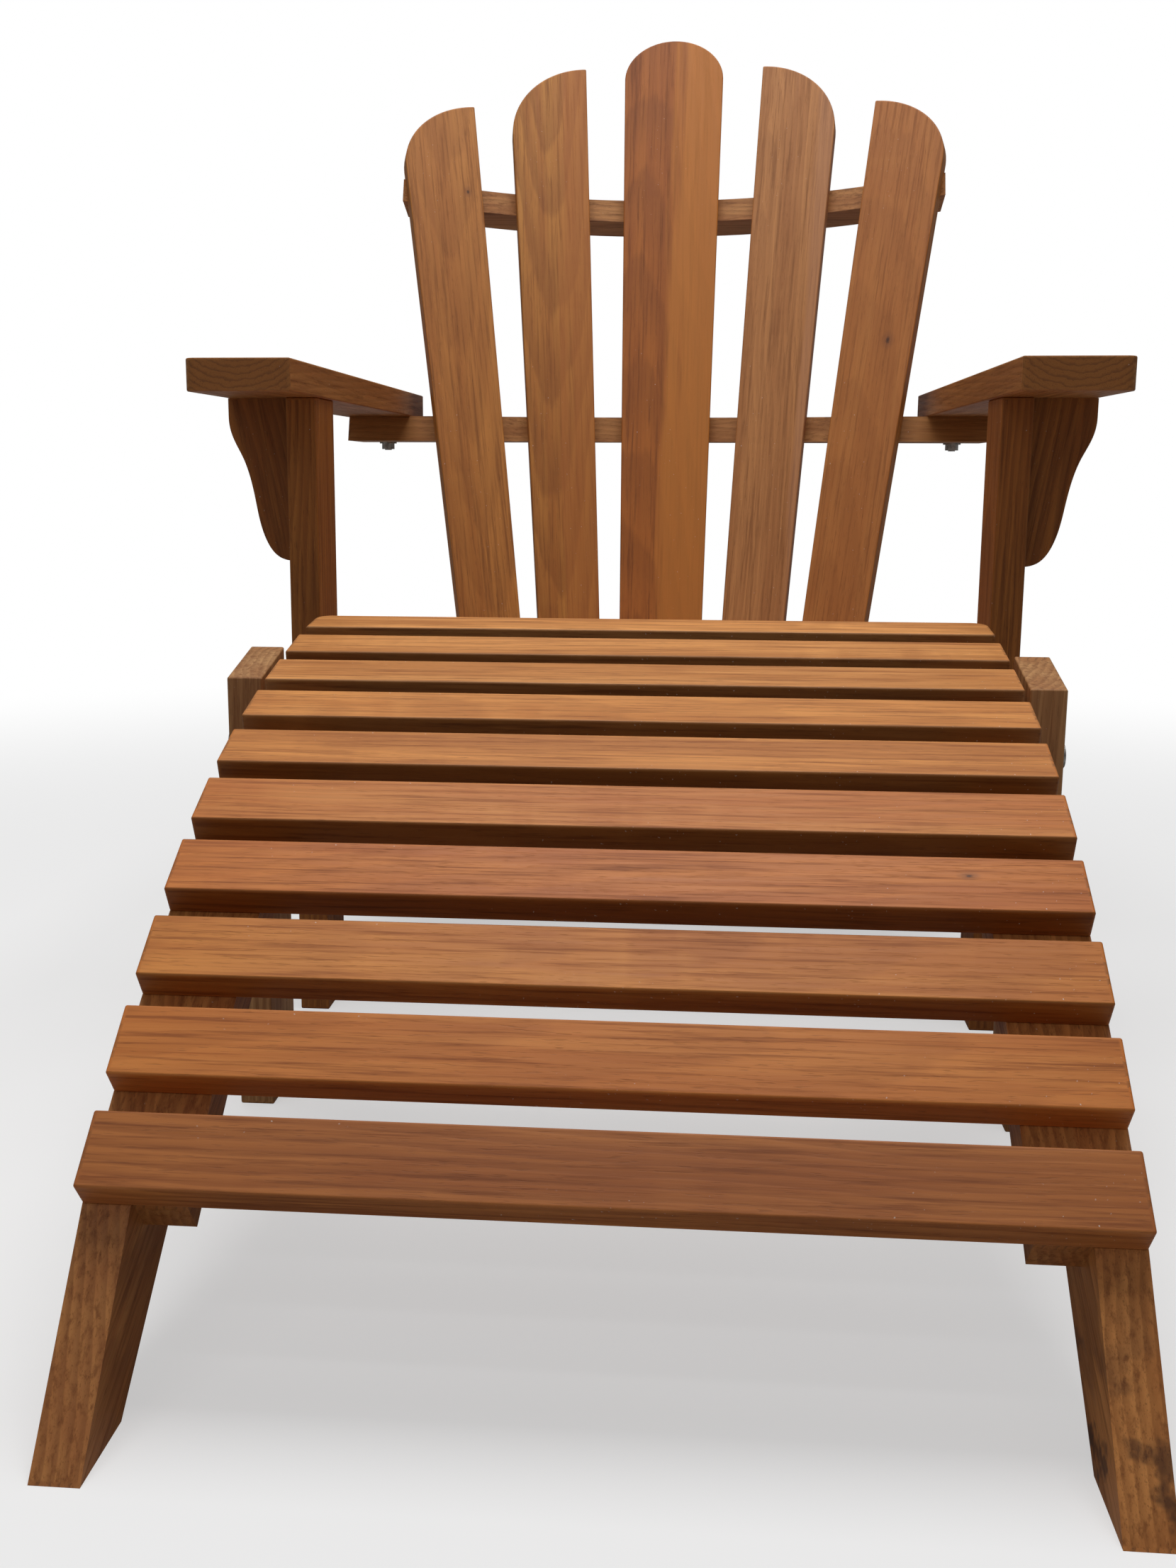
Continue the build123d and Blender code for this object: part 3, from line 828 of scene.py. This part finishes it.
    @staticmethod
    def knotted(sheet: NodeSheet, own: Socket, knot: Knot, colour: Socket) -> Socket:
        """Add a small knot with a darker ring round it.

        Args:
            sheet: The material's sheet.
            own: Coordinates of the board.
            knot: Its place and size.
            colour: The colour so far.

        Returns:
            The new colour's socket.
        """
        away = sheet.vector(Op.MINUS, own, (knot.along, knot.across, 0.0)).outputs[0]
        drawn_out = sheet.vector(Op.TIMES, away, KNOT_STRETCH).outputs[0]
        length = sheet.vector(Op.LENGTH, drawn_out).outputs["Value"]
        reach = sheet.plus(length, sheet.times(sheet.noise(own, KNOT_RAG), knot.radius))
        in_radii = sheet.math(Op.OVER, reach, knot.radius)
        halo = sheet.mapped(in_radii, *KNOT_HALO, KNOT_HALO_AMOUNT, 0.0)
        heart = sheet.mapped(in_radii, *KNOT_HEART, KNOT_HEART_AMOUNT, 0.0)
        return sheet.blend(heart, sheet.blend(halo, colour, KNOT_HALO_TONE), KNOT_HEART_TONE)

    @staticmethod
    def stained(sheet: NodeSheet, own: Socket, from_object: Socket, timber: Timber, colour: Socket) -> Socket:
        """Add dark water stains near the floor.

        Args:
            sheet: The material's sheet.
            own: Coordinates of the board.
            from_object: Object coordinates, with Z up from the floor.
            timber: Its tones.
            colour: The colour so far.

        Returns:
            The new colour's socket.
        """
        mark = sheet.mask(own, DAMP_PLACES, timber.stain)
        low_down = sheet.mapped(sheet.split(from_object)[2], 0.0, STAIN_HEIGHT, 1.0, 0.0)
        return sheet.blend(sheet.times(mark, low_down), colour, STAIN_TONE)


@dataclass(frozen=True)
class Steel:
    """Plated steel of the screws and bolts.

    Attributes:
        colour: Colour of the metal.
        dulled: How bright the dull patches are beside it.
        roughness: Roughness of the clean metal.
        dull_roughness: How much rougher the dull patches are.
        relief: Strength of its relief, from 0 to 1.
        relief_depth: Depth of its relief.
    """

    colour: Colour = (0.56, 0.55, 0.52)
    dulled: float = 0.62
    roughness: float = 0.38
    dull_roughness: float = 0.25
    relief: float = 0.15
    relief_depth: float = 0.0002

    def material(self) -> bpy.types.Material:
        """Make the metal, with fine wear and dull patches.

        Returns:
            The material.
        """
        material, sheet, shader = new_material("plated_steel")
        patches = sheet.noise(sheet.add("ShaderNodeTexCoord").outputs["Object"], DULL_PLACES)
        worn = tuple(part * self.dulled for part in self.colour)
        colour = sheet.blend(sheet.shown(patches, DULL_PLACES), self.colour, worn)
        sheet.join(colour, shader.inputs["Base Color"])
        rough = sheet.mapped(patches, *NOISE_SPAN, self.roughness, self.roughness + self.dull_roughness)
        sheet.join(rough, shader.inputs["Roughness"])
        sheet.join(sheet.bump(patches, self.relief, self.relief_depth), shader.inputs["Normal"])
        shader.inputs["Metallic"].default_value = 1.0
        return material


@dataclass
class Footrest:
    """The loose footrest.

    Attributes:
        tones: Tone of each slat from the floor up, as factors on its timber; they also paint a sheen that
            makes the higher slats paler and bluer.
        painted_shades: How much painted shade darkens the narrow sides of each slat.
        slat: Timber of most slats.
        nearest: Timber of the slat nearest the floor.
        frame: Timber of its left side rail and its battens.
        stained: Timber of its right side rail, water stained at the foot.
        leg: Timber of its legs.
        knots: Knots by the number of the slat.
    """

    # each slat's own tone, with a painted sheen that turns the higher slats paler and bluer
    tones: tuple[Colour, ...] = (
        (1.32, 1.18, 0.70),
        (1.47, 1.18, 0.73),
        (1.51, 1.27, 0.74),
        (1.39, 1.05, 0.57),
        (1.45, 1.22, 0.74),
        (1.49, 1.36, 0.92),
        (1.53, 1.48, 1.15),
        (1.58, 1.62, 1.42),
        (1.58, 1.62, 1.42),
        (1.58, 1.62, 1.42),
    )
    # painted shade on each slat's narrow sides, darker on the higher slats
    painted_shades: tuple[float, ...] = (0.0, 0.20, 0.50, 0.55, 0.60, 0.60, 0.60, 0.60, 0.60, 0.60)
    slat: Timber = Timber(figure=0.30, ribbon=0.9, pores=0.40)
    nearest: Timber = Timber(
        light=(0.40, 0.155, 0.066), middle=(0.31, 0.105, 0.044), dark=(0.17, 0.052, 0.020),
        figure=0.55, ribbon=0.5, pores=0.35,
    )
    frame: Timber = Timber(
        light=(0.58, 0.245, 0.070), middle=(0.45, 0.162, 0.044), dark=(0.22, 0.068, 0.017), figure=0.75,
    )
    stained: Timber = Timber(
        light=(0.69, 0.290, 0.084), middle=(0.53, 0.194, 0.051), dark=(0.25, 0.080, 0.019),
        figure=0.75, stain=0.8,
    )
    leg: Timber = Timber(
        light=(0.56, 0.300, 0.125), middle=(0.44, 0.200, 0.075), dark=(0.24, 0.090, 0.028),
        figure=0.7, ribbon=0.2,
    )
    knots: dict[int, tuple[Knot, ...]] = field(default_factory=lambda: {4: (Knot(0.21, 0.006, 0.0018),)})

    def build(self, shop: TimberShop) -> None:
        """Dress every wooden piece of the footrest.

        Args:
            shop: The timber shop.
        """
        # each slat takes its tone with the painted sheen, and painted shade on its narrow sides
        for number, (tone, painted_shade) in enumerate(zip(self.tones, self.painted_shades), start=1):
            timber = replace(self.nearest if number == 1 else self.slat, painted_shade=painted_shade)
            shop.dress(f"footrest_slat_{number:02d}", timber.toned(tone), self.knots.get(number, ()))
        shop.dress("footrest_rail_left", self.frame)
        shop.dress("footrest_rail_right", self.stained)
        for side in ("left", "right"):
            shop.dress(f"footrest_batten_{side}", self.frame)
            shop.dress(f"footrest_leg_{side}", self.leg)
        shop.dress("footrest_spacers", self.leg)


@dataclass
class Chair:
    """The chair.

    Attributes:
        seat_slats: Number of slats in the seat.
        frame: Timber of posts, corbels, stringers and apron.
        rail: Timber of the rails behind the boards.
        arm: Timber of the arms.
        seat: Timber of the seat.
        backs: Timber of each back board, from the left.
        knots: Knots by the number of the back board.
    """

    seat_slats: int = 6
    frame: Timber = Timber(
        light=(0.40, 0.142, 0.026), middle=(0.31, 0.098, 0.017), dark=(0.16, 0.044, 0.007),
        figure=0.7, ribbon=0.2,
    )
    rail: Timber = Timber(
        light=(0.53, 0.240, 0.075), middle=(0.41, 0.165, 0.047), dark=(0.21, 0.074, 0.018),
        figure=0.5, ribbon=0.3,
    )
    arm: Timber = Timber(
        light=(0.46, 0.197, 0.055), middle=(0.355, 0.135, 0.034), dark=(0.18, 0.060, 0.013),
        figure=0.6, ribbon=0.3,
    )
    seat: Timber = Timber(figure=0.3, ribbon=0.7, pores=0.8)
    backs: tuple[Timber, ...] = (
        Timber((0.54, 0.215, 0.047), (0.44, 0.154, 0.031), (0.26, 0.080, 0.014), figure=0.35, pores=0.4),
        Timber(
            (0.54, 0.220, 0.042), (0.40, 0.138, 0.026), (0.22, 0.067, 0.011), figure=0.65, pores=0.3,
            patch=(0.44, 0.139, 0.029), patch_amount=0.55, patch_at=0.15,
        ),
        Timber(
            (0.43, 0.136, 0.022), (0.34, 0.095, 0.015), (0.19, 0.050, 0.007), figure=0.5, pores=0.3,
            patch=(0.62, 0.225, 0.037), patch_amount=0.6, patch_at=0.05,
        ),
        Timber(
            (0.56, 0.238, 0.075), (0.44, 0.170, 0.049), (0.26, 0.091, 0.023), figure=0.4, pores=0.4,
            patch=(0.50, 0.240, 0.130), patch_amount=0.35, patch_at=0.5,
        ),
        Timber((0.54, 0.206, 0.048), (0.43, 0.149, 0.032), (0.26, 0.080, 0.014), figure=0.35, pores=0.4),
    )
    knots: dict[int, tuple[Knot, ...]] = field(
        default_factory=lambda: {1: (Knot(0.286, 0.026, 0.002),), 5: (Knot(0.10, 0.012, 0.003),)}
    )

    def build(self, shop: TimberShop) -> None:
        """Dress every wooden piece of the chair.

        Args:
            shop: The timber shop.
        """
        for number, timber in enumerate(self.backs, start=1):
            shop.dress(f"back_board_{number}", timber, self.knots.get(number, ()))
        for number in range(1, self.seat_slats + 1):
            shop.dress(f"seat_slat_{number}", self.seat)
        for side in ("left", "right"):
            shop.dress(f"armrest_{side}", self.arm)
            for piece in ("front_post", "corbel", "stringer", "seat_batten"):
                shop.dress(f"{piece}_{side}", self.frame)
        for piece in ("upper_back_rail", "arm_rail", "lower_back_rail"):
            shop.dress(piece, self.rail)
        shop.dress("front_apron", self.frame)


@dataclass
class Fasteners:
    """Screws, bolts, washers and nuts.

    Attributes:
        finish: Their steel.
    """

    finish: Steel = Steel()

    def build(self, nodes: list[str]) -> None:
        """Dress every steel node.

        Args:
            nodes: Names of the steel nodes.
        """
        material = self.finish.material()
        for node in nodes:
            put(bpy.data.objects[node], material)
            log.info("%s dressed in steel", node)


@dataclass(frozen=True)
class Lamp:
    """A square area light.

    Attributes:
        name: Its name.
        place: Where it hangs.
        size: Length of its sides.
        power: Its power, in watts.
    """

    name: str
    place: Triple
    size: float
    power: float


@dataclass
class Studio:
    """Floor, light and camera.

    Attributes:
        reach: Size of the floor.
        floor_tone: How pale the floor looks.
        floor_bounce: How much of the light the floor throws back up.
        floor_roughness: Its roughness.
        floor_shine: Its specular level.
        fade: Distances from the middle between which the floor turns to white.
        near_white: How white it is at the nearer of them, from 0 to 1.
        ambient: Strength of the light from all round.
        lamps: The lamps.
        target: Where the lamps point.
        focal: Focal length of the camera.
        sensor: Width of its sensor.
        stand: Where the camera stands.
        yaw: Turn to the right, in radians.
        pitch: Turn down, in radians.
        roll: Turn about the line of sight, in radians.
        shift: Shift of the lens, across and up.
    """

    reach: float = 60.0
    floor_tone: float = 0.95
    floor_bounce: float = 0.48
    floor_roughness: float = 0.9
    floor_shine: float = 0.1
    fade: tuple[float, float] = (0.7, 2.6)
    near_white: float = 0.50
    ambient: float = 0.20
    lamps: tuple[Lamp, ...] = (
        Lamp("above", (0.0, 0.1, 2.7), 1.7, 44.0),
        Lamp("front", (-1.2, -3.2, 2.6), 1.4, 8.0),
    )
    target: Triple = (0.0, 0.1, 0.4)
    focal: float = 37.43
    sensor: float = 36.0
    stand: Triple = (0.0465, -1.5319, 0.4956)
    yaw: float = -0.089
    pitch: float = 0.188
    roll: float = 0.004
    shift: tuple[float, float] = (0.0207, 0.0020)

    def floor(self) -> None:
        """Lay the pale floor, which turns to plain white a little way off."""
        bpy.ops.mesh.primitive_plane_add(size=self.reach, location=(0.0, 0.0, 0.0))
        plane = bpy.context.object
        plane.name = "floor"
        material, sheet, shader = new_material("pale_floor")
        seen = sheet.add("ShaderNodeLightPath").outputs["Is Camera Ray"]
        tone = sheet.blend(seen, (self.floor_bounce,) * 3, (self.floor_tone,) * 3)
        sheet.join(tone, shader.inputs["Base Color"])
        shader.inputs["Roughness"].default_value = self.floor_roughness
        shader.inputs["Specular IOR Level"].default_value = self.floor_shine
        from_object = sheet.add("ShaderNodeTexCoord").outputs["Object"]
        away = sheet.vector(Op.LENGTH, from_object).outputs["Value"]
        white = sheet.add("ShaderNodeEmission")
        white.inputs["Color"].default_value = (1.0, 1.0, 1.0, 1.0)
        mix = sheet.add("ShaderNodeMixShader")
        sheet.join(sheet.times(sheet.mapped(away, *self.fade, self.near_white, 1.0), seen), mix.inputs[0])
        sheet.join(shader.outputs[0], mix.inputs[1])
        sheet.join(white.outputs[0], mix.inputs[2])
        sheet.join(mix.outputs[0], material.node_tree.nodes["Material Output"].inputs["Surface"])
        plane.data.materials.append(material)

    def light(self) -> None:
        """Hang the lamps and set the light from all round, with white behind everything."""
        world = bpy.data.worlds.new("studio")
        bpy.context.scene.world = world
        world.use_nodes = True
        sheet = NodeSheet(world.node_tree)
        seen = sheet.add("ShaderNodeLightPath").outputs["Is Camera Ray"]
        background = world.node_tree.nodes["Background"]
        background.inputs[0].default_value = (1.0, 1.0, 1.0, 1.0)
        sheet.join(sheet.mapped(seen, 0.0, 1.0, self.ambient, 1.0), background.inputs[1])
        for lamp in self.lamps:
            data = bpy.data.lights.new(lamp.name, "AREA")
            data.size = lamp.size
            data.energy = lamp.power
            hung = bpy.data.objects.new(lamp.name, data)
            hung.location = lamp.place
            aim = Vector(self.target) - Vector(lamp.place)
            hung.rotation_euler = aim.to_track_quat("-Z", "Y").to_euler()
            bpy.context.scene.collection.objects.link(hung)

    def camera(self) -> None:
        """Set the camera at the chosen viewing angle."""
        level = Vector((math.cos(self.yaw), -math.sin(self.yaw), 0.0))
        ahead = Vector((math.sin(self.yaw), math.cos(self.yaw), 0.0))
        forward = ahead * math.cos(self.pitch) - Vector((0.0, 0.0, math.sin(self.pitch)))
        upright = level.cross(forward)
        right = level * math.cos(self.roll) + upright * math.sin(self.roll)
        up = upright * math.cos(self.roll) - level * math.sin(self.roll)
        data = bpy.data.cameras.new("camera")
        data.lens = self.focal
        data.sensor_width = self.sensor
        data.shift_x, data.shift_y = self.shift
        camera = bpy.data.objects.new("camera", data)
        turn = Matrix((right, up, -forward)).transposed()
        camera.matrix_world = Matrix.Translation(Vector(self.stand)) @ turn.to_4x4()
        bpy.context.scene.collection.objects.link(camera)
        bpy.context.scene.camera = camera

    def build(self) -> None:
        """Set up the whole studio."""
        self.floor()
        self.light()
        self.camera()
        bpy.context.scene.view_settings.view_transform = "Standard"


def main() -> None:
    """Load the frame, dress the chair and the footrest, and set up the studio."""
    logging.basicConfig(level=logging.INFO, format="%(message)s")
    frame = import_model()
    shop = TimberShop()
    Chair().build(shop)
    Footrest().build(shop)
    steel = [part["node"] for part in frame["record"]["subparts"] if part["material_slot"] == "steel"]
    Fasteners().build(steel)
    Studio().build()


if __name__ == "__main__":
    main()
